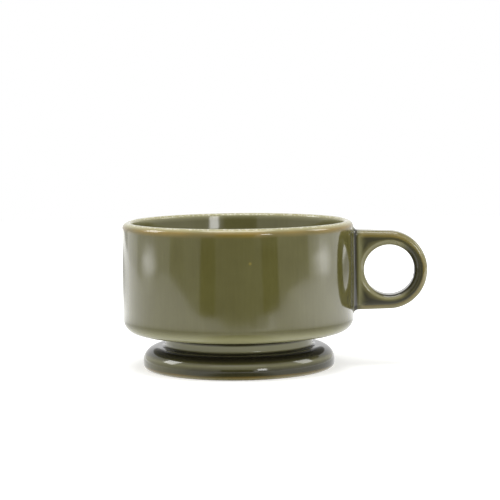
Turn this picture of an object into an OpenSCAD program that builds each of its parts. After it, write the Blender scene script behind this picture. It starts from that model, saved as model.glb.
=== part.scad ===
// Footed soup mug: a straight wide cup on a waisted foot, with a ring handle.
// One piece of fired and glazed clay, so it is one solid.
// Millimetres. The origin is on the cup's axis at the table, +Z is up and the handle points along +X.

/* [Cup] */
// Outside diameter of the cup
cup_d = 110; // [96:1:130]
// Height of the lip above the table
mug_h = 70; // [66:0.5:95]
// Thickness of the cup's wall
wall_t = 4.3; // [3.6:0.1:6]
// Height of the cup's inside floor above its underside
floor_rise = 4.5; // [3:0.1:8]
// Rounding of the lip's outer edge, the rest of the wall's thickness rounds its inner edge
lip_out_r = 2.8; // [1.4:0.1:3.2]
// Rounding low on the cup's side, where it turns under
belly_r = 6.4; // [3:0.1:9]
// Rounding inside the cup, where the wall meets the floor
inside_r = 9; // [4:0.5:14]

/* [Foot] */
// Height of the cup's underside above the table
foot_h = 17.5; // [15:0.5:22]
// Widest diameter of the foot
foot_d = 91.6; // [84:0.2:96]
// Height of the foot's flange, under the neck
flange_h = 10.6; // [9.6:0.1:12]
// Rounding of the flange's shoulder
shoulder_r = 7; // [4:0.1:7.2]
// Flat step on the flange's top, between its shoulder and the neck's lower cove
neck_step = 1.7; // [0.1:0.1:3]
// Rounding at the foot of the neck, where it meets the flange
neck_low_r = 1.6; // [0.8:0.1:2.4]
// Height of the neck's upright part, the rest of the neck's height rounds out under the cup
neck_upright = 1.9; // [0.5:0.1:2.6]
// Rounding of the foot's lower edge
foot_edge_r = 2.3; // [1:0.1:2.4]
// Width of the bare clay ring that the mug stands on
ring_w = 3.6; // [2:0.1:5]

/* [Underside recess] */
// Rounding of the standing ring's inner edge
recess_edge_r = 1; // [0.5:0.1:1.5]
// Thickness of clay between the recess and the neck
neck_wall_t = 6.5; // [4:0.1:9]
// Thickness of clay between the recess and the cup's floor
base_t = 5.5; // [4:0.1:9]
// Rounding at the recess's ceiling
recess_r = 5; // [2:0.1:7]

/* [Handle] */
// How far the handle stands out from the cup
handle_reach = 35; // [32:0.5:42]
// Distance from the lip down to the top of the handle's ring
handle_drop = 5.1; // [4:0.1:8]
// Outside diameter of the handle's ring
ring_d = 37; // [34:0.5:40]
// Thickness of the handle, front to back
handle_t = 12; // [9:0.5:15]
// Rounding of the handle's outer edges
handle_edge_r = 2.2; // [1:0.1:3]
// Angle at which the handle's straight sides spread towards the cup
side_spread = 1.7; // [0:0.1:3]
// Diameter of the finger hole
hole_d = 23.8; // [20:0.2:25]
// Rounding of the finger hole's edges
hole_edge_r = 2.4; // [1:0.1:3]
// How far the finger hole lies outward of the ring's centre
hole_shift = 0.45; // [0:0.05:1]
// Radius of the slip fillet where the handle joins the cup
slip_r = 2.5; // [1.2:0.1:3]

/* [Hidden] */
$fn = 96;
// How deep each fillet runs into the clay it joins, so that its edge is a shallow crease
bite = 0.012;
// How far a cut runs past the surface that it opens
past = 1;
// Angle by which the ring's turn runs on inside the handle's straight sides
ring_lap = 10;
cup_r = cup_d / 2;
inner_r = cup_r - wall_t;
lip_in_r = wall_t - lip_out_r;
floor_z = foot_h + floor_rise;
foot_r = foot_d / 2;
// The cove under the cup takes the height that is left, and is never tighter than the lower one
neck_top_r = max(neck_low_r, foot_h - flange_h - neck_low_r - neck_upright);
neck_r = foot_r - shoulder_r - neck_step - neck_low_r;
recess_h = floor_z - base_t;
recess_x = foot_r - foot_edge_r - ring_w - recess_edge_r;
recess_top_x = neck_r - neck_wall_t;
recess_lean = atan((recess_x - recess_top_x) / recess_h);
ring_r = ring_d / 2;
ring_x = cup_r + handle_reach - ring_r;
ring_z = mug_h - handle_drop - ring_r;
hole_r = hole_d / 2;
// The handle starts in the middle of the cup's wall
root_x = cup_r - wall_t / 2;
// Half height of the handle where the slip fillet ends on it
root_h = ring_r / cos(side_spread) + (ring_x - cup_r - slip_r) * tan(side_spread);
// Centre of the slip fillet's curve, measured off the clay on both sides
slip_mid = slip_r - bite;
// Where the rounding of the handle's long edges is centred
edge_y = handle_t / 2 - handle_edge_r;
edge_z = root_h - handle_edge_r;
// Steps round each corner of the handle, across its top, and up the slip fillet
corner_steps = 7;
top_steps = 4;
slip_steps = 9;

// Outline of the cup's solid half, from the axis to the lip
module cup_outline() {
    difference() {
        union() {
            translate([0, foot_h]) square([cup_r - belly_r, mug_h - foot_h - lip_out_r]);
            translate([0, foot_h + belly_r]) square([cup_r, mug_h - foot_h - belly_r - lip_out_r]);
            translate([0, mug_h - lip_out_r - past]) square([cup_r - lip_out_r, lip_out_r + past]);
            translate([cup_r - belly_r, foot_h + belly_r]) circle(belly_r);
            translate([cup_r - lip_out_r, mug_h - lip_out_r]) circle(lip_out_r);
        }
        inside_outline();
    }
}

// Outline of the space inside the cup, open over the lip
module inside_outline() {
    deep = mug_h - floor_z;
    translate([0, floor_z]) square([inner_r - inside_r, deep + past]);
    translate([0, floor_z + inside_r]) square([inner_r, deep - inside_r + past]);
    translate([inner_r - inside_r, floor_z + inside_r]) circle(inside_r);
    difference() {
        translate([inner_r - past, mug_h - lip_in_r]) square([lip_in_r + past, lip_in_r + past]);
        translate([inner_r + lip_in_r, mug_h - lip_in_r]) circle(lip_in_r);
    }
}

// Outline of the foot: a standing edge, a round-shouldered flange and the neck between its two coves
module foot_outline() {
    square([foot_r - foot_edge_r, flange_h - shoulder_r + past]);
    translate([0, foot_edge_r]) square([foot_r, flange_h - shoulder_r - foot_edge_r]);
    translate([foot_r - foot_edge_r, foot_edge_r]) circle(foot_edge_r);
    translate([0, foot_edge_r]) square([foot_r - shoulder_r, flange_h - foot_edge_r]);
    translate([foot_r - shoulder_r, flange_h - shoulder_r]) intersection() {
        circle(shoulder_r);
        square(shoulder_r + past);
    }
    translate([0, flange_h - past]) square([neck_r, foot_h - flange_h + 2 * past]);
    difference() {
        translate([neck_r - past, flange_h - past]) square(neck_low_r + past);
        translate([neck_r + neck_low_r, flange_h + neck_low_r]) circle(neck_low_r);
    }
    difference() {
        translate([neck_r - past, foot_h - neck_top_r]) square(neck_top_r + past);
        translate([neck_r + neck_top_r, foot_h - neck_top_r]) circle(neck_top_r);
    }
}

// Outline of the hollow under the foot, with leaning sides and rounded edges
module recess_outline() {
    lean_c = cos(recess_lean);
    lean_s = sin(recess_lean);
    top_c = [recess_x - (recess_r + (recess_h - recess_r) * lean_s) / lean_c, recess_h - recess_r];
    edge_z = recess_edge_r - bite;
    edge_c = [recess_x + edge_z * (1 - lean_s) / lean_c, edge_z];
    polygon([
        [0, -past],
        [recess_x, -past],
        [recess_x, 0],
        top_c + recess_r * [lean_c, lean_s],
        top_c,
        [top_c[0], recess_h],
        [0, recess_h]
    ]);
    translate(top_c) circle(recess_r);
    difference() {
        polygon([
            [recess_x - past, -past],
            [edge_c[0], -past],
            edge_c,
            edge_c - edge_z * [lean_c, lean_s],
            [recess_x - past, edge_z]
        ]);
        translate(edge_c) circle(recess_edge_r);
    }
}

// The thrown body: cup, neck and foot in one turn
module body() {
    rotate_extrude() difference() {
        union() {
            cup_outline();
            foot_outline();
        }
        recess_outline();
    }
}

// Upper half of the handle's cross-section: x is its thickness and y its height
module grip_section(low) {
    half_t = handle_t / 2;
    translate([-half_t, low]) square([handle_t, ring_r - handle_edge_r - low]);
    translate([handle_edge_r - half_t, low]) square([handle_t - 2 * handle_edge_r, ring_r - low]);
    for (side = [-1, 1])
        translate([side * (half_t - handle_edge_r), ring_r - handle_edge_r]) circle(handle_edge_r);
}

// One straight side of the handle, from the ring back into the cup's wall
module side_bar() {
    run = (ring_x - root_x) / cos(side_spread) - ring_r * tan(side_spread);
    rotate([0, side_spread, 0]) rotate([90, 0, -90])
        linear_extrude(run) grip_section(-ring_r / 2);
}

// Outer half of the ring, turned about the handle's own cross axis and lapped into the straight sides
module outer_ring() {
    sweep = 180 + 2 * ring_lap;
    rotate([90, 0, 0]) rotate([0, 0, -sweep / 2])
        rotate_extrude(angle = sweep) rotate(-90) grip_section(0);
}

// Cutter for the finger hole, with both edges rounded over
module finger_hole() {
    half_t = handle_t / 2;
    rounding_y = half_t - hole_edge_r + bite;
    translate([hole_shift, 0, 0]) rotate([90, 0, 0]) rotate_extrude() {
        translate([0, -half_t - past]) square([hole_r, handle_t + 2 * past]);
        for (side = [0, 1]) mirror([0, side]) difference() {
            translate([0, rounding_y]) square([hole_r + hole_edge_r, hole_edge_r + past]);
            translate([hole_r + hole_edge_r, rounding_y]) circle(hole_edge_r);
        }
    }
}

// Outline of the handle's root: each point's place, and the direction that faces out of the handle
root_outline = [
    for (q = [0:3])
        let (sy = q == 0 || q == 3 ? 1 : -1, sz = q < 2 ? 1 : -1)
            each [
                for (i = [0:corner_steps])
                    let (turn = 90 * (q + i / corner_steps), out = [cos(turn), sin(turn)])
                        [[sy * edge_y, sz * edge_z] + handle_edge_r * out, out],
                if (sy == sz)
                    for (i = [1:top_steps - 1])
                        [[sy * edge_y * (1 - 2 * i / top_steps), sz * root_h], [0, sz]]
            ]
];

// The root's outline set off from the handle, and off the cup's round wall
function loop_at(off_handle, off_wall) = [
    for (p = root_outline)
        let (place = p[0] + off_handle * p[1], r = cup_r + off_wall)
            [sqrt(r * r - place[0] * place[0]), place[0], place[1]]
];

// Fillet of slip all round the handle's root: a quarter curve swept along the outline,
// closed by two loops that lie inside the wall and inside the handle
module slip_fillet() {
    loops = [
        loop_at(slip_mid, -wall_t / 2),
        for (i = [0:slip_steps])
            let (turn = 90 * i / slip_steps)
                loop_at(slip_mid - slip_r * sin(turn), slip_mid - slip_r * cos(turn)),
        loop_at(-handle_edge_r / 2, slip_mid)
    ];
    count = len(root_outline);
    last = len(loops) * count;
    points = [for (loop = loops) each loop, [root_x, 0, 0], [cup_r + slip_mid, 0, 0]];
    faces = [
        for (i = [0:count - 1])
            let (next = (i + 1) % count)
                each [
                    [last, i, next],
                    for (k = [0:len(loops) - 2])
                        let (a = k * count + i, b = k * count + next)
                            each [[a, a + count, b], [b, a + count, b + count]],
                    [last + 1, last - count + next, last - count + i]
                ]
    ];
    polyhedron(points, faces, convexity = 4);
}

module handle() {
    difference() {
        translate([ring_x, 0, 0]) {
            outer_ring();
            side_bar();
            mirror([0, 0, 1]) side_bar();
        }
        translate([ring_x, 0, 0]) finger_hole();
    }
}

module mug() {
    color("#6e6b42") {
        body();
        translate([0, 0, ring_z]) {
            handle();
            slip_fillet();
        }
    }
}

mug();
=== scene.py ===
import math

import bmesh
import bpy
from mathutils import Euler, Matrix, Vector


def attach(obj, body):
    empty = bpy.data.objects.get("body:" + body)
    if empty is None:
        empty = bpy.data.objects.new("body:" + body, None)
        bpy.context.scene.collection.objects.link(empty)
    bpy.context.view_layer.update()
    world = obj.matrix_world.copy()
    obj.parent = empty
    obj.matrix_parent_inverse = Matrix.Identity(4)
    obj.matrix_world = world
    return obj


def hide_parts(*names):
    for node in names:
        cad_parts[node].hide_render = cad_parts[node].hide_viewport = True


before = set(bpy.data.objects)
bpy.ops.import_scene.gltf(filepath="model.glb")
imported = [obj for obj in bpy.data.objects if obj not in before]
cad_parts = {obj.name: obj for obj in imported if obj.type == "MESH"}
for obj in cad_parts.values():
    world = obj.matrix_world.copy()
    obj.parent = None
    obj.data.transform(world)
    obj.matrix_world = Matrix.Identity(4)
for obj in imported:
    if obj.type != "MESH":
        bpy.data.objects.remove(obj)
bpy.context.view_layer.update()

# Thrown body: the cup, its neck and its round foot, in pale stoneware clay.
# It is thrown in one turn, so one profile is spun round the cup's axis. The profile runs from the middle
# of the hollow under the foot, round the foot and over the lip, to the middle of the cup's floor.
MM = 0.001
SPIN_STEPS = 256
cup_r, inner_r, mug_h = 55.0, 50.7, 70.0
lip_out_r, lip_in_r, belly_r, inside_r = 2.8, 1.5, 6.4, 9.0
cup_under, floor_z = 17.5, 22.0
foot_r, flange_h, shoulder_r, foot_edge_r = 45.8, 10.6, 7.0, 2.3
neck_r, neck_low_r, neck_top_r = 35.5, 1.6, 3.4
recess_x, recess_h, recess_r, recess_edge_r, recess_lean = 38.9, 16.5, 5.0, 1.0, 30.964
lip_x, belly_x, inside_x = inner_r + lip_in_r, cup_r - belly_r, inner_r - inside_r
wall_low, wall_high, inside_low = cup_under + belly_r, mug_h - lip_out_r, floor_z + inside_r
low_cove_z, top_cove_z = flange_h + neck_low_r, cup_under - neck_top_r


def arc(centre, radius, first, last, steps):
    """Points of an arc in the profile, from one angle to another, in degrees up from straight out."""
    angles = [math.radians(first + (last - first) * i / steps) for i in range(steps + 1)]
    return [(centre[0] + radius * math.cos(a), centre[1] + radius * math.sin(a)) for a in angles]


def run(first, last, steps):
    """Points between two places on a straight part of the profile, without its ends."""
    shares = [i / steps for i in range(1, steps)]
    return [tuple(a + (b - a) * share for a, b in zip(first, last)) for share in shares]


lean_c, lean_s = math.cos(math.radians(recess_lean)), math.sin(math.radians(recess_lean))
ceiling_x = recess_x - (recess_r + (recess_h - recess_r) * lean_s) / lean_c
ring_in_x = recess_x + recess_edge_r * (1 - lean_s) / lean_c
profile = [(0, recess_h), (ceiling_x / 2, recess_h)]
profile += arc((ceiling_x, recess_h - recess_r), recess_r, 90, recess_lean, 6)
profile += arc((ring_in_x, recess_edge_r), recess_edge_r, 180 + recess_lean, 270, 5)
profile += arc((foot_r - foot_edge_r, foot_edge_r), foot_edge_r, -90, 0, 9)
profile += arc((foot_r - shoulder_r, flange_h - shoulder_r), shoulder_r, 0, 90, 16)
profile += arc((neck_r + neck_low_r, low_cove_z), neck_low_r, -90, -180, 9)
profile += arc((neck_r + neck_top_r, top_cove_z), neck_top_r, -180, -270, 12)
profile += run((neck_r + neck_top_r, cup_under), (belly_x, cup_under), 5)
profile += arc((belly_x, wall_low), belly_r, -90, 0, 14)
profile += run((cup_r, wall_low), (cup_r, wall_high), 33)
profile += arc((cup_r - lip_out_r, wall_high), lip_out_r, 0, 90, 10)
profile += arc((lip_x, mug_h - lip_in_r), lip_in_r, 90, 180, 8)[1:]
# A low throwing ridge under the lip: how far it stands in from the wall, and its height. The wall leans in
# by 5 to 6 degrees down to the ridge, and below it is straight again by 50 mm up
ridge = [(0.086 * i + 0.001 * i * i, mug_h - lip_in_r - 0.95 * i) for i in range(1, 8)]
ridge += [(0.62, 60.6), (0.52, 59), (0.34, 56.5), (0.15, 53.8), (0.03, 51.5)]
ridge_end = 50
profile += [(inner_r - stand_in, z) for stand_in, z in ridge]
profile += run((inner_r, ridge_end), (inner_r, inside_low), 5)
profile += arc((inside_x, inside_low), inside_r, 0, -90, 14)
profile += [(inside_x / 2, floor_z), (0, floor_z)]


def take(name, scale=(1, 1, 1)):
    """Names the primitive that was just added, and puts its place and size in its mesh."""
    piece = bpy.context.object
    piece.name = piece.data.name = name
    piece.scale = scale
    bpy.ops.object.transform_apply(location=True, rotation=True, scale=True)
    return piece


bpy.ops.object.select_all(action="DESELECT")
bpy.ops.mesh.primitive_plane_add(size=MM, location=(0, 0, recess_h * MM))
mug = take("footed_soup_mug")
bpy.ops.object.mode_set(mode="EDIT")
bpy.ops.mesh.select_mode(type="VERT")
bpy.ops.mesh.select_all(action="SELECT")
bpy.ops.mesh.merge(type="CENTER")
for here, there in zip(profile, profile[1:]):
    step = ((there[0] - here[0]) * MM, 0, (there[1] - here[1]) * MM)
    bpy.ops.mesh.extrude_region_move(TRANSFORM_OT_translate={"value": step})
bpy.ops.mesh.select_all(action="SELECT")
bpy.ops.mesh.spin(steps=SPIN_STEPS, angle=math.tau, center=(0, 0, 0), axis=(0, 0, 1))
bpy.ops.mesh.select_all(action="SELECT")
bpy.ops.mesh.remove_doubles(threshold=0.001 * MM)
bpy.ops.mesh.select_all(action="SELECT")
bpy.ops.mesh.normals_make_consistent(inside=False)
bpy.ops.object.mode_set(mode="OBJECT")

# Ring handle: a slab of the same clay, a half ring on two sides that spread a little towards the cup.
# Its outline is drawn outward from the finger hole, the slab is pulled to its thickness, and its long
# edges and the hole's edges are rounded. Its root stays open, for the slip fillet.
OUTLINE_STEPS = 96
NEAR = 0.01  # in mm, how far apart two places may be and still count as one
ring_r, ring_x, ring_z, handle_t = 18.5, 71.5, 46.4, 12.0
hole_r, hole_x, hole_edge_r = 11.9, 71.95, 2.4
handle_edge_r, side_spread, slip_r = 2.2, math.radians(1.7), 2.5
crowded = 0.07  # in mm, how close the rounding leaves points of the open end that are one point
root_x = cup_r + slip_r
root_h = ring_r / math.cos(side_spread) + (ring_x - root_x) * math.tan(side_spread)


def outline(inset):
    """The handle's outline, set in by some mm, from its tip up and round: x and z of each point."""
    turns = [(90 + math.degrees(side_spread)) * i / 24 for i in range(25)]
    half = [(ring_x + (ring_r - inset) * math.cos(math.radians(t)),
             (ring_r - inset) * math.sin(math.radians(t))) for t in turns]
    corner = (root_x + inset / 50, root_h - inset)
    half += run(half[-1], corner, 9) + [corner]
    low = (corner[0], root_h - handle_edge_r - 0.6)
    half += [low] + run(low, (corner[0], 0), 14) + [(corner[0], 0)]
    below = [(x, -z) for x, z in reversed(half[1:-1])]
    return [(x, ring_z + z) for x, z in half + below]


def hole_ring(radius):
    """Points on a circle round the finger hole's centre, in step with the outline."""
    angles = [math.tau * i / OUTLINE_STEPS for i in range(OUTLINE_STEPS)]
    return [(hole_x + radius * math.cos(a), ring_z + radius * math.sin(a)) for a in angles]


# The flat of the slab starts and ends just clear of the two roundings
near_hole, near_edge = hole_ring(hole_r + hole_edge_r + 0.05), outline(handle_edge_r + 0.3)
between = [[tuple(a + (b - a) * share for a, b in zip(p, q)) for p, q in zip(near_hole, near_edge)]
           for share in (1 / 3, 2 / 3)]
rings = [near_hole] + between + [near_edge, outline(0)]

bpy.ops.object.select_all(action="DESELECT")
bpy.ops.mesh.primitive_circle_add(
    vertices=OUTLINE_STEPS, radius=hole_r * MM, location=(hole_x * MM, -handle_t / 2 * MM, ring_z * MM),
    rotation=(math.pi / 2, 0, 0))
handle = take("ring_handle")
bpy.ops.object.mode_set(mode="EDIT")
bpy.ops.mesh.select_mode(type="VERT")
bpy.ops.mesh.select_all(action="SELECT")
# Each point keeps its number round the hole while the ring that it is on is drawn out
clay = bmesh.from_edit_mesh(handle.data)
number = clay.verts.layers.int.new("number")
for vert in clay.verts:
    angle = math.atan2(vert.co.z - ring_z * MM, vert.co.x - hole_x * MM)
    vert[number] = round(angle / math.tau * OUTLINE_STEPS) % OUTLINE_STEPS
for ring in rings:
    bpy.ops.mesh.extrude_region_move()
    clay = bmesh.from_edit_mesh(handle.data)
    number = clay.verts.layers.int["number"]
    for vert in clay.verts:
        if vert.select:
            vert.co.x, vert.co.z = ring[vert[number]][0] * MM, ring[vert[number]][1] * MM
    bmesh.update_edit_mesh(handle.data)
bpy.ops.mesh.select_all(action="SELECT")
bpy.ops.mesh.extrude_region_move(TRANSFORM_OT_translate={"value": (0, handle_t * MM, 0)})
for cut_y in (-1.9, 0, 1.9):
    bpy.ops.mesh.select_all(action="SELECT")
    bpy.ops.mesh.bisect(plane_co=(0, cut_y * MM, 0), plane_no=(0, 1, 0))


def choose(mesh, kind, test):
    """Selects the faces or edges of the mesh in edit mode that pass a test, and nothing else."""
    bpy.ops.mesh.select_all(action="DESELECT")
    bpy.ops.mesh.select_mode(type=kind)
    parts = bmesh.from_edit_mesh(mesh)
    for part in (parts.faces if kind == "FACE" else parts.edges):
        part.select_set(test(part))
    bmesh.update_edit_mesh(mesh)


def at_root(vert):
    """Whether a point lies in the open end of the handle, next to the cup."""
    return abs(vert.co.x - root_x * MM) < NEAR * MM


def at_hole(vert):
    """Whether a point lies in the finger hole's bore."""
    return math.hypot(vert.co.x - hole_x * MM, vert.co.z - ring_z * MM) < (hole_r + 0.1) * MM


def reach(x, up):
    """How far out a place on the handle lies, in mm, which is the ring's radius all along the outline."""
    if x > ring_x:
        return math.hypot(x - ring_x, up)
    return abs(up) * math.cos(side_spread) + (x - ring_x) * math.sin(side_spread)


def on_outline(vert):
    """Whether a point lies on the handle's outline."""
    return reach(vert.co.x / MM, vert.co.z / MM - ring_z) > ring_r - 0.3


def long_edge(edge, test):
    """Whether an edge runs along one flat side of the handle, with both its ends passing a test."""
    flat = all(abs(abs(vert.co.y) - handle_t / 2 * MM) < NEAR * MM for vert in edge.verts)
    return flat and abs(edge.verts[0].co.y - edge.verts[1].co.y) < MM and all(test(v) for v in edge.verts)


def corner_chip(face):
    """Whether a face is one of the small triangles that the rounding leaves at the root's corners."""
    return len(face.verts) == 3 and face.calc_center_median().x < (root_x + 0.1) * MM


def is_open(edge):
    """Whether an edge has a face on one side only."""
    return len(edge.link_faces) == 1


choose(handle.data, "FACE", lambda face: all(at_root(vert) for vert in face.verts))
bpy.ops.mesh.delete(type="FACE")
choose(handle.data, "EDGE", lambda edge: long_edge(edge, on_outline) and not all(map(at_root, edge.verts)))
bpy.ops.mesh.bevel(offset=handle_edge_r * MM, segments=8, affect="EDGES", profile=0.5, clamp_overlap=False)
choose(handle.data, "FACE", corner_chip)
bpy.ops.mesh.delete(type="FACE")
choose(handle.data, "EDGE", is_open)
bpy.ops.mesh.remove_doubles(threshold=crowded * MM)
choose(handle.data, "EDGE", lambda edge: long_edge(edge, at_hole))
bpy.ops.mesh.bevel(offset=hole_edge_r * MM, segments=9, affect="EDGES", profile=0.5, clamp_overlap=False)

# Slip fillet: soft clay pressed into the corner all round the handle's root.
# The root's open edge is drawn out in a quarter curve until it lies on the cup's round wall.
SLIP_STEPS = 9
edge_y, edge_z = handle_t / 2 - handle_edge_r, root_h - handle_edge_r
choose(handle.data, "EDGE", is_open)
clay = bmesh.from_edit_mesh(handle.data)
root_y, root_z = clay.verts.layers.float.new("root_y"), clay.verts.layers.float.new("root_z")
for vert in clay.verts:
    vert[root_y], vert[root_z] = vert.co.y / MM, vert.co.z / MM - ring_z
bmesh.update_edit_mesh(handle.data)
for i in range(SLIP_STEPS + 1):
    if i:
        bpy.ops.mesh.extrude_region_move()
    turn = math.pi / 2 * (1 - i / SLIP_STEPS)
    off_handle, off_wall = slip_r * (1 - math.sin(turn)), slip_r * (1 - math.cos(turn))
    clay = bmesh.from_edit_mesh(handle.data)
    root_y, root_z = clay.verts.layers.float["root_y"], clay.verts.layers.float["root_z"]
    for vert in clay.verts:
        if vert.select:
            y, z = vert[root_y], vert[root_z]
            out = Vector((y - max(-edge_y, min(edge_y, y)), z - max(-edge_z, min(edge_z, z)))).normalized()
            y, z = y + off_handle * out.x, ring_z + z + off_handle * out.y
            above = max(0, z - wall_high)
            r = cup_r - lip_out_r + math.sqrt((lip_out_r + off_wall) ** 2 - above ** 2)
            vert.co = Vector((math.sqrt(r * r - y * y), y, z)) * MM
    bmesh.update_edit_mesh(handle.data)
bpy.ops.object.mode_set(mode="OBJECT")

# The join: the slip makes cup and handle one piece of clay.
# A window is cut in the cup's wall just outside the fillet, with as many edges round it as the fillet
# has, and the two are bridged.
window_y, window_low, window_high = 9.45, 24.0, 68.5
bpy.ops.object.select_all(action="DESELECT")
handle.select_set(True)
mug.select_set(True)
bpy.context.view_layer.objects.active = mug
bpy.ops.object.join()
bpy.ops.object.mode_set(mode="EDIT")


def in_window(face):
    """Whether a face of the cup's outer wall lies in the window that the handle joins."""
    middle = face.calc_center_median() / MM
    on_wall = middle.x > 0 and cup_r - 1 < math.hypot(middle.x, middle.y) < cup_r and all(
        math.hypot(vert.co.x, vert.co.y) < (cup_r + 0.001) * MM for vert in face.verts)
    return on_wall and abs(middle.y) < window_y and window_low < middle.z < window_high


choose(mug.data, "FACE", in_window)
bpy.ops.mesh.delete(type="FACE")
choose(mug.data, "EDGE", is_open)
bpy.ops.mesh.bridge_edge_loops()
bpy.ops.mesh.select_all(action="SELECT")
bpy.ops.mesh.normals_make_consistent(inside=False)
bpy.ops.object.mode_set(mode="OBJECT")
bpy.ops.object.shade_smooth()
bpy.ops.object.modifier_add(type="WEIGHTED_NORMAL")
bpy.ops.object.modifier_apply(modifier=mug.modifiers[-1].name)

# Olive glaze: a glossy transparent olive glaze over pale clay, dipped and fired.
# It runs thin and turns amber on every rounded edge, and lies thick and dark in the slip fillet and on the
# handle's flats.
# Painted shade darkens it under the cup, on the foot and in the finger hole, and painted highlights and
# reflections lighten it.
# How thin or thick it lies, and its painted light and shade, are kept at each point of the skin on the mesh.
# All places are in mm.


def rise(value, low, high):
    """0 below a low value, 1 above a high one, and an even rise between them."""
    return max(0, min(1, (value - low) / (high - low)))


def fall(value, low, high):
    """1 below a low value, 0 above a high one, and an even fall between them."""
    return 1 - rise(value, low, high)


def on_rounding(across, along, soft):
    """1 on a rounded edge, falling to 0 where the rounding ends on either side and off the edge."""
    beyond = 1.05
    return 0 if max(across, along) > beyond else rise(min(across, along), 0, soft)


def on_handle(p):
    """How far a point of the handle lies in from its outline, from the hole and from its flat side."""
    up = p.z - ring_z
    return ring_r - reach(p.x, up), math.hypot(p.x - hole_x, up) - hole_r, handle_t / 2 - abs(p.y)


def band_at(p):
    """How wide the thin glaze on the handle's outline is: a little wider over the top."""
    return 2 + 0.8 * rise(p.z - ring_z, 3, 12)


def tipward(p):
    """0 on the cup's side of the finger hole, 1 on the side of the handle's tip."""
    return rise(p.x - hole_x, 5, 10)


def foot_edge_at(p, low):
    """Where a point lies on the foot's low rounded edge: across it, and down along it from a height."""
    return (math.hypot(p.x, p.y) - foot_r + foot_edge_r) / foot_edge_r, (low - p.z) / foot_edge_r


def thin_at(p):
    """How thin and amber the glaze is at a point, from 0 to 1: on the lip, the foot and the handle."""
    r = math.hypot(p.x, p.y)
    if p.x > root_x - NEAR:
        from_outline, from_hole, _ = on_handle(p)
        band = band_at(p)
        rim = 1 - 0.5 * fall(from_outline, 0.6, 1.6)
        outer_edge = 0.6 * fall(from_outline, band - 0.3, band + 0.5) * rim
        hole_edge = 0.2 * fall(from_hole, 2.2, 3) * (1 - tipward(p))
        return max(outer_edge, hole_edge)
    if r > cup_r + NEAR:
        return 0
    if r > lip_x and p.z > wall_low:
        return rise(p.z, wall_high - 1.4, wall_high + 0.8) * fall(p.z, mug_h - 0.2, mug_h + 0.3)
    lip_inside = 0.8 * on_rounding((lip_x - r) / lip_in_r, (p.z - mug_h + lip_in_r) / lip_in_r, 0.25)
    return max(lip_inside, on_rounding(*foot_edge_at(p, foot_edge_r), 0.25))


def pool_and_shade_at(p):
    """How dark the glaze is at a point, from 0 to 1: where it lies thick, and painted shade where shade
    falls.
    """
    r = math.hypot(p.x, p.y)
    if p.x > root_x - NEAR:
        # On the handle: thick glaze on the flat sides, with painted shade lower down and towards the tip, and
        # painted shade low in the finger hole's bore and on its tip side
        from_outline, from_hole, from_side = on_handle(p)
        band = band_at(p)
        depth_and_shade = 0.78 + 0.1 * max(fall(p.z - ring_z, -12, -6), rise(p.x - ring_x, 0, 8))
        flat = rise(from_outline, band - 0.3, band + 0.7) * rise(from_hole, 2.2, 3.2)
        flat *= rise(p.x - root_x, 1, 3)
        low_and_tipward = rise(p.x - hole_x - 0.7 * (p.z - ring_z), -3, 7)
        low_bore = low_and_tipward * fall(from_hole, 2.1, 2.6) * rise(from_side, 0.3, 0.7)
        tip_bore = 0.8 * tipward(p) * fall(from_hole, 2.6, 3)
        bore = max(low_bore, tip_bore) * (1 - 0.5 * rise(from_side, 2, 3))
        return max(depth_and_shade * flat, bore)
    if r > cup_r + NEAR and p.x > 0:
        # The groove of the slip fillet, deepest halfway from the wall to the handle
        return rise(1 - abs(2 * (r - cup_r) / slip_r - 1), 0.2, 0.7)
    if r < foot_r - 0.3 and 6.4 < p.z < low_cove_z:
        # The foot's top, up to the neck: painted shade under the cup's overhang
        return rise(p.z, 6.6, 8.8) * fall(p.z, low_cove_z - 1.4, low_cove_z - 0.6)
    if neck_r - 1 < r < neck_r + neck_top_r and p.z > flange_h:
        # The cove under the cup: painted shade
        return 0.8 * rise(p.z, top_cove_z, top_cove_z + 0.9)
    if r > foot_r - 2 and 1 < p.z < flange_h:
        # The foot's face: painted shade under the cup, lighter on the side away from the handle
        return (0.75 - 0.65 * fall(p.x, -38, -18)) * rise(p.z, 1.2, 2.4) * fall(p.z, 4.4, 6)
    return 0


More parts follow.
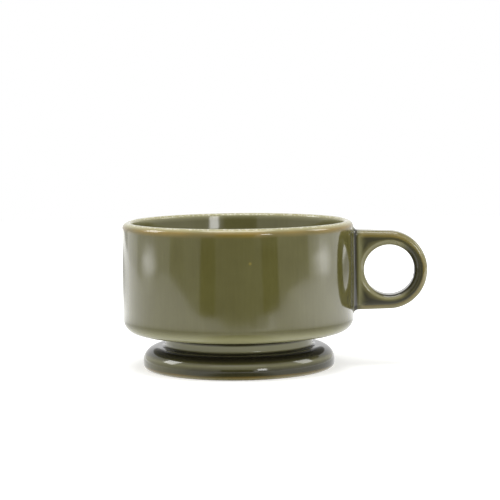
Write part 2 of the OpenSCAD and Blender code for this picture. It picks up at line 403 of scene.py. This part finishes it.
def pale_and_lit_at(p):
    """How pale the glaze is at a point, from 0 to 1: pale clay under thin glaze, and painted highlights and
    reflections.
    """
    r = math.hypot(p.x, p.y)
    if p.x > root_x - NEAR:
        # On the handle: paler on its outline and at its root, partly thin glaze and partly painted highlight,
        # and painted light on the finger hole's edge on the cup's side
        from_outline, from_hole, _ = on_handle(p)
        band = band_at(p)
        outer_edge = (0.28 - 0.2 * rise(p.z - ring_z, 10, 17)) * fall(from_outline, band - 0.9, band - 0.1)
        hole_edge = 0.34 * fall(from_hole, 2.1, 2.7) * (1 - 0.9 * tipward(p))
        root_edge = 0.34 * fall(p.x, root_x + 1, root_x + 2.4)
        return max(outer_edge, hole_edge, root_edge)
    if r > cup_r + NEAR:
        return 0
    if p.z > floor_z - 1 and r < lip_x:
        # The cup's inside: a painted sheen, palest up at the lip
        return 0.08 + 0.66 * rise(p.z, mug_h - 2.9, mug_h - 0.8)
    if p.z > wall_high:
        # The lip's crest: pale clay under thin glaze, with a painted highlight
        return 0.74 * rise(p.z, mug_h - 1.8, mug_h - 0.5)
    if p.z > cup_under:
        # The turn from the wall to the cup's underside: a painted reflection of the white table
        return 0.58 * fall(p.z, wall_low - 3.9, wall_low - 1.1) * rise(r, belly_x + 0.5, belly_x + 2.5)
    if p.z > flange_h + 0.5:
        # The neck, between its two coves: a painted reflection of the white table
        return 0.62 * rise(p.z, flange_h + 0.2, flange_h + 1) * fall(p.z, top_cove_z, top_cove_z + 0.9)
    # A painted highlight on the foot's shoulder, and on its low edge pale clay under thin glaze with a
    # painted highlight
    shoulder = 0.22 * rise(p.z, 5.4, 6.3) * fall(p.z, 6.8, 7.8) * rise(r, foot_r - 2, foot_r - 1)
    return max(shoulder, 0.7 * on_rounding(*foot_edge_at(p, foot_edge_r - 0.8), 0.4))


for name, share_at in (("glaze_thin", thin_at), ("glaze_pool_and_shade", pool_and_shade_at), ("glaze_pale_and_lit", pale_and_lit_at)):
    share = mug.data.attributes.new(name, "FLOAT", "POINT")
    for vert, kept in zip(mug.data.vertices, share.data):
        kept.value = share_at(vert.co / MM)


def linear(code):
    """A colour given as an sRGB hex value, as linear red, green, blue and alpha."""
    parts = [int(code[i:i + 2], 16) / 255 for i in (1, 3, 5)]
    return [c / 12.92 if c <= 0.04045 else ((c + 0.055) / 1.055) ** 2.4 for c in parts] + [1]


def add(tree, kind, settings, inputs):
    """Adds a node to a material, with its settings and what each input is set or linked to."""
    node = tree.nodes.new(kind)
    for name, value in settings.items():
        setattr(node, name, value)
    for name, value in inputs.items():
        if isinstance(value, bpy.types.NodeSocket):
            tree.links.new(value, node.inputs[name])
        else:
            node.inputs[name].default_value = value
    return node


# A Mix node's sockets by number: its share, what it mixes as a plain value or a colour, and a colour out
SHARE, VALUE_A, VALUE_B, COLOUR_A, COLOUR_B, COLOUR_OUT = 0, 2, 3, 6, 7, 2
olive_low, olive_high, amber, pale_clay_and_light = "#5b572d", "#636035", "#8f7838", "#b5b38a"
highlight_white, iron_speck, pool_and_shade_dark = "#f2eedd", "#a08a3a", "#26241c"
cloud_size, run_size, stretch_size, speck_size, wave_size = 12, 1.5, 20, 1, 18

glaze = bpy.data.materials.new("olive_glaze")
glaze.use_nodes = True
tree = glaze.node_tree
shader = tree.nodes["Principled BSDF"]
place = add(tree, "ShaderNodeTexCoord", {}, {}).outputs["Object"]
thinness, pooling_and_shade, crest = [
    add(tree, "ShaderNodeAttribute", {"attribute_name": name}, {}).outputs["Fac"]
    for name in ("glaze_thin", "glaze_pool_and_shade", "glaze_pale_and_lit")]
# Soft clouds in the glaze, 12 mm across, and thin runs down the wall, 1.5 mm apart
clouds = add(tree, "ShaderNodeTexNoise", {}, {"Vector": place, "Scale": 1 / (cloud_size * MM), "Detail": 3.0})
runs_place = add(tree, "ShaderNodeMapping", {}, {"Vector": place, "Scale": (1, 1, 0.08)})
runs = add(tree, "ShaderNodeTexNoise", {}, {
    "Vector": runs_place.outputs[0], "Scale": 1 / (run_size * MM), "Detail": 2.0})
shade = add(tree, "ShaderNodeMix", {"data_type": "FLOAT"}, {
    SHARE: 0.35, VALUE_A: clouds.outputs["Fac"], VALUE_B: runs.outputs["Fac"]})
body_tone = add(tree, "ShaderNodeMapRange", {}, {
    "Value": shade.outputs[0], "From Min": 0.3, "From Max": 0.7})
body_colour = add(tree, "ShaderNodeMix", {"data_type": "RGBA"}, {
    SHARE: body_tone.outputs[0], COLOUR_A: linear(olive_low), COLOUR_B: linear(olive_high)})
# The amber comes and goes along an edge, in stretches 20 mm long
patches = add(tree, "ShaderNodeTexNoise", {}, {
    "Vector": place, "Scale": 1 / (stretch_size * MM), "Detail": 1.0})
patch = add(tree, "ShaderNodeMapRange", {}, {
    "Value": patches.outputs["Fac"], "From Min": 0.38, "From Max": 0.6, "To Min": 0.5, "To Max": 1.0})
amber_share = add(tree, "ShaderNodeMath", {"operation": "MULTIPLY"}, {0: thinness, 1: patch.outputs[0]})
amber_colour = add(tree, "ShaderNodeMix", {"data_type": "RGBA"}, {
    SHARE: amber_share.outputs[0], COLOUR_A: body_colour.outputs[COLOUR_OUT], COLOUR_B: linear(amber)})
# Pale clay under thin glaze, and painted highlights and reflections, lighten it
pale_and_lit_colour = add(tree, "ShaderNodeMix", {"data_type": "RGBA"}, {
    SHARE: crest, COLOUR_A: amber_colour.outputs[COLOUR_OUT], COLOUR_B: linear(pale_clay_and_light)})
# Painted highlights: white sparkles, 1 mm apart, where it is palest
specks = add(tree, "ShaderNodeTexNoise", {}, {"Vector": place, "Scale": 1 / (speck_size * MM), "Detail": 0.0})
speck = add(tree, "ShaderNodeMapRange", {}, {
    "Value": specks.outputs["Fac"], "From Min": 0.54, "From Max": 0.64, "To Max": 0.4})
sparkle_places = add(tree, "ShaderNodeMapRange", {}, {"Value": crest, "From Min": 0.65, "From Max": 0.74})
sparkle_share = add(tree, "ShaderNodeMath", {"operation": "MULTIPLY"}, {
    0: speck.outputs[0], 1: sparkle_places.outputs[0]})
sparkle_colour = add(tree, "ShaderNodeMix", {"data_type": "RGBA"}, {
    SHARE: sparkle_share.outputs[0], COLOUR_A: pale_and_lit_colour.outputs[COLOUR_OUT], COLOUR_B: linear(highlight_white)})
# One iron speck in the front of the wall, burnt out amber: its core is 0.6 mm across and its edge is soft
from_speck = add(tree, "ShaderNodeVectorMath", {"operation": "DISTANCE"}, {
    0: place, 1: (0.0082, -0.0544, 0.0545)})
iron_share = add(tree, "ShaderNodeMapRange", {}, {
    "Value": from_speck.outputs["Value"], "From Min": 0.0003, "From Max": 0.0009,
    "To Min": 0.5, "To Max": 0.0})
iron_colour = add(tree, "ShaderNodeMix", {"data_type": "RGBA"}, {
    SHARE: iron_share.outputs[0], COLOUR_A: sparkle_colour.outputs[COLOUR_OUT], COLOUR_B: linear(iron_speck)})
# Thick glaze and painted shade darken it towards near black
pool_and_shade_share = add(tree, "ShaderNodeMath", {"operation": "MULTIPLY"}, {0: pooling_and_shade, 1: 0.93})
glaze_colour = add(tree, "ShaderNodeMix", {"data_type": "RGBA"}, {
    SHARE: pool_and_shade_share.outputs[0], COLOUR_A: iron_colour.outputs[COLOUR_OUT], COLOUR_B: linear(pool_and_shade_dark)})
tree.links.new(glaze_colour.outputs[COLOUR_OUT], shader.inputs["Base Color"])
shader.inputs["Roughness"].default_value = 0.09
shader.inputs["IOR"].default_value = 1.52
# The fired surface is a little uneven: slow waves 18 mm long
waves = add(tree, "ShaderNodeTexNoise", {}, {"Vector": place, "Scale": 1 / (wave_size * MM), "Detail": 1.0})
bump = add(tree, "ShaderNodeBump", {}, {"Height": waves.outputs["Fac"], "Distance": 0.00012, "Strength": 1.0})
tree.links.new(bump.outputs[0], shader.inputs["Normal"])

# Bare clay: the ring that the mug stands on, in pale gritty stoneware.
# It is wiped clean of glaze before firing, so it stays pale and dull.
grit_size = 0.6
clay_low, clay_high = "#b9a37c", "#d8c8a6"
bare_h, bare_inset = 0.25, 1.2
clay_body = bpy.data.materials.new("bare_stoneware")
clay_body.use_nodes = True
tree = clay_body.node_tree
shader = tree.nodes["Principled BSDF"]
place = add(tree, "ShaderNodeTexCoord", {}, {}).outputs["Object"]
# Grit in the clay, 0.6 mm across
grit = add(tree, "ShaderNodeTexNoise", {}, {"Vector": place, "Scale": 1 / (grit_size * MM), "Detail": 2.0})
clay_colour = add(tree, "ShaderNodeMix", {"data_type": "RGBA"}, {
    SHARE: grit.outputs["Fac"], COLOUR_A: linear(clay_low), COLOUR_B: linear(clay_high)})
tree.links.new(clay_colour.outputs[COLOUR_OUT], shader.inputs["Base Color"])
shader.inputs["Roughness"].default_value = 0.85
bump = add(tree, "ShaderNodeBump", {}, {"Height": grit.outputs["Fac"], "Distance": 0.00008, "Strength": 1.0})
tree.links.new(bump.outputs[0], shader.inputs["Normal"])
mug.data.materials.append(glaze)
mug.data.materials.append(clay_body)
for face in mug.data.polygons:
    r = math.hypot(face.center.x, face.center.y) / MM
    face.material_index = int(face.center.z < bare_h * MM and recess_x < r < foot_r - bare_inset)

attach(mug, "root")
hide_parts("mug")

# Table: a wide round table with a white laminate top, a hair lower than the sheet that the mug stands on.
# Past that sheet the glaze mirrors it in painted upright bands of light and shade, dark in front and pale at
# the sides, with a painted pool of light on either side.
table_r, table_drop = 1.0, 0.0002
bpy.ops.object.select_all(action="DESELECT")
bpy.ops.mesh.primitive_circle_add(
    vertices=128, radius=table_r, fill_type="NGON", location=(0, 0, -table_drop))
table = take("white_table")


def bearing(tree, place):
    """How far round the mug a point of the table lies, from 0 behind by the left, front and right to 1."""
    across = add(tree, "ShaderNodeSeparateXYZ", {}, {0: place}).outputs
    ahead = add(tree, "ShaderNodeMath", {"operation": "MULTIPLY"}, {0: across["Y"], 1: -1.0})
    turn = add(tree, "ShaderNodeMath", {"operation": "ARCTAN2"}, {0: across["X"], 1: ahead.outputs[0]})
    return add(tree, "ShaderNodeMath", {"operation": "MULTIPLY_ADD"}, {
        0: turn.outputs[0], 1: 1 / math.tau, 2: 0.5}).outputs[0]


def with_pools(tree, place, level, pools):
    """Adds soft round pools of light, or of shade below 0, to the level that the glaze mirrors."""
    for centre, core, edge, strength in pools:
        away = add(tree, "ShaderNodeVectorMath", {"operation": "DISTANCE"}, {0: place, 1: centre})
        lit = add(tree, "ShaderNodeMapRange", {"interpolation_type": "SMOOTHSTEP"}, {
            "Value": away.outputs["Value"], "From Min": core, "From Max": edge,
            "To Min": strength, "To Max": 0})
        level = add(tree, "ShaderNodeMath", {"operation": "ADD"}, {0: level, 1: lit.outputs[0]}).outputs[0]
    return level


def paper_white(name, mirrored_by):
    """A matt white that the camera sees as white, with its own levels in what the glaze mirrors."""
    surface = bpy.data.materials.new(name)
    surface.use_nodes = True
    tree = surface.node_tree
    tree.nodes.clear()
    place = add(tree, "ShaderNodeTexCoord", {}, {}).outputs["Object"]
    path = add(tree, "ShaderNodeLightPath", {}, {})
    # The white comes in over half a metre, so that the mug's shadow stays close to it
    away = add(tree, "ShaderNodeVectorMath", {"operation": "LENGTH"}, {0: place})
    white = add(tree, "ShaderNodeMapRange", {}, {
        "Value": away.outputs["Value"], "From Min": 0.1, "From Max": 0.45, "To Min": 0.5, "To Max": 1.0})
    seen = add(tree, "ShaderNodeMath", {"operation": "MULTIPLY"}, {
        0: path.outputs["Is Camera Ray"], 1: white.outputs[0]})
    glow = add(tree, "ShaderNodeEmission", {}, {"Color": (1, 1, 1, 1), "Strength": seen.outputs[0]})
    paint = add(tree, "ShaderNodeBsdfDiffuse", {}, {"Color": linear("#ececea")})
    lit = add(tree, "ShaderNodeAddShader", {}, {0: paint.outputs[0], 1: glow.outputs[0]})
    mirrored = add(tree, "ShaderNodeEmission", {}, {
        "Color": (1, 1, 1, 1), "Strength": mirrored_by(tree, place)})
    either = add(tree, "ShaderNodeMixShader", {}, {
        0: path.outputs["Is Glossy Ray"], 1: lit.outputs[0], 2: mirrored.outputs[0]})
    add(tree, "ShaderNodeOutputMaterial", {}, {"Surface": either.outputs[0]})
    return surface


def table_level(tree, place):
    """The level that the glaze mirrors of the table."""
    # Bearings in degrees from straight in front, negative to the left, and the level from each one on
    bands = [(-180, 0.9), (-135, 1.7), (-112, 1.25), (-66, 0.55), (-50, 0.7), (-33, 0.0), (-19, 0.35),
             (24, 0.0), (40, 0.7), (72, 1.6), (86, 2.3), (135, 0.9)]
    most = 2.5
    ramp = add(tree, "ShaderNodeValToRGB", {}, {0: bearing(tree, place)})
    ramp.color_ramp.interpolation = "CONSTANT"
    stops = ramp.color_ramp.elements
    stops.remove(stops[1])
    for i, (degrees, grey) in enumerate(bands):
        stop = stops[0] if i == 0 else stops.new(degrees / 360 + 0.5)
        stop.position, stop.color = degrees / 360 + 0.5, (grey / most, grey / most, grey / most, 1)
    level = add(tree, "ShaderNodeMath", {"operation": "MULTIPLY"}, {0: ramp.outputs["Color"], 1: most})
    return with_pools(tree, place, level.outputs[0], [
        ((-0.606, 0.02, 0), 0.03, 0.16, 3.8),
        ((0.628, 0.0, 0), 0.03, 0.19, 4.2),
    ])


table.data.materials.append(paper_white("white_laminate", table_level))

# Sheet: white card laid on the table under the mug, with its corners cut round.
# In what the glaze mirrors, it has a painted shade close by the foot and painted pools of light and shade,
# and it is brightest from a hand's length off.
sheet_x, sheet_front, sheet_back, corner_r = 0.46, -0.263, 0.9, 0.14
bpy.ops.object.select_all(action="DESELECT")
bpy.ops.mesh.primitive_plane_add(size=1, location=(0, (sheet_front + sheet_back) / 2, 0))
sheet = take("white_card", scale=(2 * sheet_x, sheet_back - sheet_front, 1))
bpy.ops.object.mode_set(mode="EDIT")
bpy.ops.mesh.select_mode(type="VERT")
bpy.ops.mesh.select_all(action="SELECT")
bpy.ops.mesh.bevel(offset=corner_r, segments=12, affect="VERTICES")
bpy.ops.object.mode_set(mode="OBJECT")


def sheet_level(tree, place):
    """The level that the glaze mirrors of the sheet."""
    away = add(tree, "ShaderNodeVectorMath", {"operation": "LENGTH"}, {0: place}).outputs["Value"]
    far = add(tree, "ShaderNodeMapRange", {}, {
        "Value": away, "From Min": 0.15, "From Max": 0.25, "To Min": 1.15, "To Max": 2.1})
    level = add(tree, "ShaderNodeMapRange", {"interpolation_type": "SMOOTHSTEP"}, {
        "Value": away, "From Min": 0.068, "From Max": 0.09, "To Min": 1.1, "To Max": far.outputs[0]})
    # Painted pools of light and shade, in what the glaze mirrors
    return with_pools(tree, place, level.outputs[0], [
        ((0.003, -0.062, 0), 0.012, 0.035, -1.05),
        ((0.01, -0.27, 0), 0.03, 0.1, -0.7),
        ((0.11, -0.225, 0), 0.02, 0.07, 0.7),
        ((0.1, -0.257, 0), 0.03, 0.055, -1.3),
        ((0.34, -0.05, 0), 0.05, 0.25, 0.9),
        ((-0.05, 0.5, 0), 0.16, 0.38, -1.45),
        ((0.43, 0.45, 0), 0.1, 0.35, -1.6),
    ])


sheet.data.materials.append(paper_white("white_card_stock", sheet_level))

# Dark card: a long card stood behind the camera, white to the camera, that gives the glaze a painted dark
# reflection to shade its front.
# It is dark only in what the glaze mirrors, paler past its dark middle, with one painted bright patch at the
# right that glows though it is no lamp.
dark_half, pale_from = 0.38, 0.41
bpy.ops.object.select_all(action="DESELECT")
bpy.ops.mesh.primitive_plane_add(size=1, location=(-0.1, -1.15, 0.17), rotation=(math.pi / 2, 0, 0))
card = take("dark_card", scale=(3.4, 0.36, 1))
dark_glow = bpy.data.materials.new("painted_dark_reflection")
dark_glow.use_nodes = True
tree = dark_glow.node_tree
tree.nodes.clear()
path = add(tree, "ShaderNodeLightPath", {}, {})
place = add(tree, "ShaderNodeTexCoord", {}, {}).outputs["Object"]
sideways = add(tree, "ShaderNodeSeparateXYZ", {}, {0: place}).outputs["X"]
outward = add(tree, "ShaderNodeMath", {"operation": "ABSOLUTE"}, {0: sideways})
shaded = add(tree, "ShaderNodeMapRange", {}, {
    "Value": outward.outputs[0], "From Min": dark_half, "From Max": pale_from, "To Min": 0.06, "To Max": 0.8})
# A painted bright patch, which glows though it is no lamp
mirrored = with_pools(tree, place, shaded.outputs[0], [((0.48, -1.15, 0.1), 0.035, 0.075, 2.3)])
level = add(tree, "ShaderNodeMapRange", {}, {
    "Value": path.outputs["Is Camera Ray"], "To Min": mirrored, "To Max": 1.0})
glow = add(tree, "ShaderNodeEmission", {}, {"Color": (1, 1, 1, 1), "Strength": level.outputs[0]})
add(tree, "ShaderNodeOutputMaterial", {}, {"Surface": glow.outputs[0]})
card.data.materials.append(dark_glow)

# Studio light: soft boxes overhead, above the camera and on either side, and a small one low at the front
# right. Each is given by its place, its width and height, and its radiance.
aim = Vector((0, 0, 0.04))
soft_boxes = [
    ("overhead_light", (0, -0.2, 0.95), (0.7, 0.5), 5.0),
    ("front_light", (0, -0.85, 0.86), (1.4, 0.2), 0.9),
    ("left_light", (-0.9, 0.08, 0.55), (0.35, 0.4), 6.6),
    ("right_light", (0.9, 0.1, 0.55), (0.35, 0.4), 4.5),
    ("window_light", (0.55, -0.95, 0.27), (0.2, 0.24), 9.0),
]
for name, stand, (wide, tall), radiance in soft_boxes:
    lamp = bpy.data.lights.new(name, "AREA")
    lamp.shape = "RECTANGLE"
    lamp.size, lamp.size_y, lamp.energy = wide, tall, radiance * math.pi * wide * tall
    soft_box = bpy.data.objects.new(name, lamp)
    soft_box.location = stand
    soft_box.rotation_euler = (aim - Vector(stand)).to_track_quat("-Z", "Y").to_euler()
    bpy.context.scene.collection.objects.link(soft_box)

# White surround: an even white all round, as the camera, gloss and glass show it.
# It lights the mug at less than half of that, so the lamps give the mug its shade and its shadow.
fill_level = 0.4
room = bpy.data.worlds.new("white_room")
bpy.context.scene.world = room
room.use_nodes = True
tree = room.node_tree
tree.nodes.clear()
path = add(tree, "ShaderNodeLightPath", {}, {})
seen = add(tree, "ShaderNodeMath", {"operation": "MAXIMUM"}, {
    0: path.outputs["Is Camera Ray"], 1: path.outputs["Is Glossy Ray"]})
seen = add(tree, "ShaderNodeMath", {"operation": "MAXIMUM"}, {
    0: seen.outputs[0], 1: path.outputs["Is Transmission Ray"]})
level = add(tree, "ShaderNodeMapRange", {}, {"Value": seen.outputs[0], "To Min": fill_level, "To Max": 1.0})
sky = add(tree, "ShaderNodeBackground", {}, {"Color": (1, 1, 1, 1), "Strength": level.outputs[0]})
add(tree, "ShaderNodeOutputWorld", {}, {"Surface": sky.outputs[0]})

# Camera: a long lens nearly a metre in front of the mug, a little above it and to its handle's side.
# It looks down by about five degrees.
view = bpy.data.cameras.new("camera")
view.sensor_width, view.lens = 36, 133.278
camera = bpy.data.objects.new("camera", view)
camera.location = (0.044774, -0.879028, 0.134226)
camera.rotation_euler = Euler([math.radians(a) for a in (84.91237, 0.60576, 2.48617)], "XYZ")
bpy.context.scene.collection.objects.link(camera)
bpy.context.scene.camera = camera
bpy.context.scene.view_settings.view_transform = "Standard"
